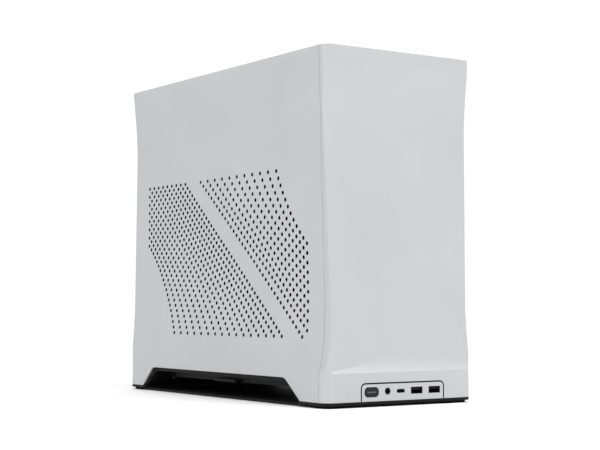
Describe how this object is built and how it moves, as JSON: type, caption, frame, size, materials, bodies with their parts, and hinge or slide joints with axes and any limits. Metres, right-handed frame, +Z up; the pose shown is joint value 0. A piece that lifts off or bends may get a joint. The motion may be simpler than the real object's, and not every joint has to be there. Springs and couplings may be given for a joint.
{
  "type": "desktop computer tower",
  "caption": "Compact upright computer case with a folded aluminium skin, drilled side vents, slatted top, ports in the plinth, and the machine inside.",
  "frame": {"origin": "centre of the case's footprint, on the floor", "axes": "+Z up, front face looks along -Y, rear along +Y, the side with the graphics card is -X"},
  "size_m": [0.165, 0.363, 0.314],
  "materials": {
    "skin_aluminium": "fine bead-blasted, silver anodised",
    "top_aluminium": "fine bead-blasted, silver anodised",
    "black_mesh": "fine black mesh",
    "black_steel": "black powder coat",
    "rubber_feet": "matte rubber",
    "black_plastic": "satin moulded",
    "button_plastic": "satin moulded",
    "light_plastic": "translucent light guide",
    "port_metal": "plated steel",
    "circuit_board": "dark solder mask",
    "module_black": "anodised heat spreader",
    "fan_plastic": "glass-filled plastic",
    "rotor_plastic": "smooth moulded",
    "fin_aluminium": "raw rolled fins",
    "supply_steel": "textured powder coat",
    "fastener_steel": "zinc plated",
    "cable_sleeve": "braided sleeve"
  },
  "bodies": {
    "chassis": {"front_panel": "skin_aluminium", "tab_plate": "skin_aluminium", "base_frame": "black_steel", "base_pan": "black_steel", "chassis_floor": "black_steel", "front_bulkhead": "black_steel", "rear_panel": "black_steel", "top_frame": "black_steel", "centre_plate": "black_steel", "graphics_card_bracket": "black_steel", "usb_c_port": "black_steel", "usb_a_ports": "black_steel", "foot_pads": "rubber_feet", "tab_trim": "black_plastic", "board_connectors": "black_plastic", "graphics_card_shroud": "black_plastic", "ac_inlet": "black_plastic", "switch_bezel": "black_plastic", "panel_clips": "black_plastic", "riser_cable": "black_plastic", "audio_jack": "black_plastic", "rear_ports": "port_metal", "io_shield": "port_metal", "front_io_board": "circuit_board", "main_board": "circuit_board", "graphics_card_board": "circuit_board", "memory_modules": "module_black", "solid_state_drive": "module_black", "top_fan_front_frame": "fan_plastic", "top_fan_rear_frame": "fan_plastic", "floor_fan_frame": "fan_plastic", "cpu_fan_frame": "fan_plastic", "cpu_cooler": "fin_aluminium", "graphics_card_heatsink": "fin_aluminium", "power_supply_case": "supply_steel", "board_standoffs": "fastener_steel", "board_screws": "fastener_steel", "thumbscrews": "fastener_steel", "main_power_cable": "cable_sleeve", "graphics_power_cable": "cable_sleeve"},
    "left_side": {"left_side_panel": "skin_aluminium", "left_panel_studs": "fastener_steel"},
    "right_side": {"right_side_panel": "skin_aluminium", "right_panel_studs": "fastener_steel"},
    "top_cover": {"top_panel": "top_aluminium", "top_mesh": "black_mesh", "top_panel_studs": "fastener_steel"},
    "dust_filter": {"dust_filter_frame": "black_plastic", "dust_filter_mesh": "black_mesh"},
    "power_button": {"power_button": "button_plastic", "power_light": "light_plastic"},
    "supply_switch": {"switch_rocker": "black_plastic"},
    "top_fan_front": {"top_fan_front_rotor": "rotor_plastic"},
    "top_fan_rear": {"top_fan_rear_rotor": "rotor_plastic"},
    "floor_fan": {"floor_fan_rotor": "rotor_plastic"},
    "cpu_fan": {"cpu_fan_rotor": "rotor_plastic"},
    "graphics_fan_front": {"graphics_fan_rotor_front": "rotor_plastic"},
    "graphics_fan_rear": {"graphics_fan_rotor_rear": "rotor_plastic"},
    "power_supply_fan": {"power_supply_fan_rotor": "rotor_plastic"}
  },
  "joints": [
    {"name": "left_side_tilt", "type": "hinge", "parent": "chassis", "child": "left_side", "pos_m": [-0.0825, 0, 0.005], "axis": [0, -1, 0], "range_deg": [0, 20]},
    {"name": "right_side_tilt", "type": "hinge", "parent": "chassis", "child": "right_side", "pos_m": [0.0825, 0, 0.005], "axis": [0, 1, 0], "range_deg": [0, 20]},
    {"name": "top_cover_lift", "type": "slide", "parent": "chassis", "child": "top_cover", "axis": [0, 0, 1], "range_m": [0, 0.06]},
    {"name": "dust_filter_pull", "type": "slide", "parent": "chassis", "child": "dust_filter", "axis": [-1, 0, 0], "range_m": [0, 0.12]},
    {"name": "power_button_press", "type": "slide", "parent": "chassis", "child": "power_button", "axis": [0, 1, 0], "range_m": [0, 0.0008], "stiffness_N_per_m": 1500},
    {"name": "supply_switch_rock", "type": "hinge", "parent": "chassis", "child": "supply_switch", "pos_m": [0.002, 0.1626, 0.0606], "axis": [-1, 0, 0], "range_deg": [0, 14]},
    {"name": "top_fan_front_spin", "type": "hinge", "parent": "chassis", "child": "top_fan_front", "pos_m": [0, -0.062, 0.2825], "axis": [0, 0, 1], "continuous": true},
    {"name": "top_fan_rear_spin", "type": "hinge", "parent": "chassis", "child": "top_fan_rear", "pos_m": [0, 0.062, 0.2825], "axis": [0, 0, 1], "continuous": true},
    {"name": "floor_fan_spin", "type": "hinge", "parent": "chassis", "child": "floor_fan", "pos_m": [0, -0.062, 0.0337], "axis": [0, 0, 1], "continuous": true},
    {"name": "cpu_fan_spin", "type": "hinge", "parent": "chassis", "child": "cpu_fan", "pos_m": [0.056, 0.092, 0.196], "axis": [1, 0, 0], "continuous": true},
    {"name": "graphics_fan_front_spin", "type": "hinge", "parent": "chassis", "child": "graphics_fan_front", "pos_m": [-0.0535, -0.028, 0.174], "axis": [-1, 0, 0], "continuous": true},
    {"name": "graphics_fan_rear_spin", "type": "hinge", "parent": "chassis", "child": "graphics_fan_rear", "pos_m": [-0.0535, 0.088, 0.174], "axis": [-1, 0, 0], "continuous": true},
    {"name": "power_supply_fan_spin", "type": "hinge", "parent": "chassis", "child": "power_supply_fan", "pos_m": [0, 0.115, 0.0371], "axis": [0, 0, -1], "continuous": true}
  ]
}
